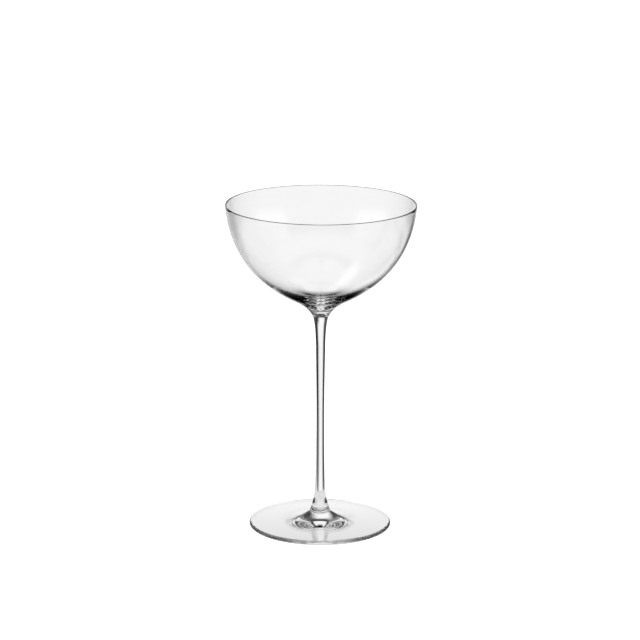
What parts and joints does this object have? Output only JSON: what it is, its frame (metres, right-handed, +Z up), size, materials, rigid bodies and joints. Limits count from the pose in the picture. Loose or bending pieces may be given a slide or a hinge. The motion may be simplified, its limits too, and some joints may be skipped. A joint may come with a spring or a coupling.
{
  "type": "stemmed cocktail glass",
  "caption": "Clear hand-blown cocktail glass: a thin round bowl, hot-joined to a slender drawn stem and a wide flat foot.",
  "frame": {"origin": "centre of the foot, at the level of the table that the glass stands on", "axes": "+Z up along the axis of the glass, which is turned about it, so +X and +Y are alike"},
  "size_m": [0.096, 0.096, 0.167],
  "materials": {
    "clear_glass": "clear, fire-polished"
  },
  "bodies": {
    "root": {"bowl": "clear_glass", "stem": "clear_glass", "foot": "clear_glass"}
  },
  "joints": []
}
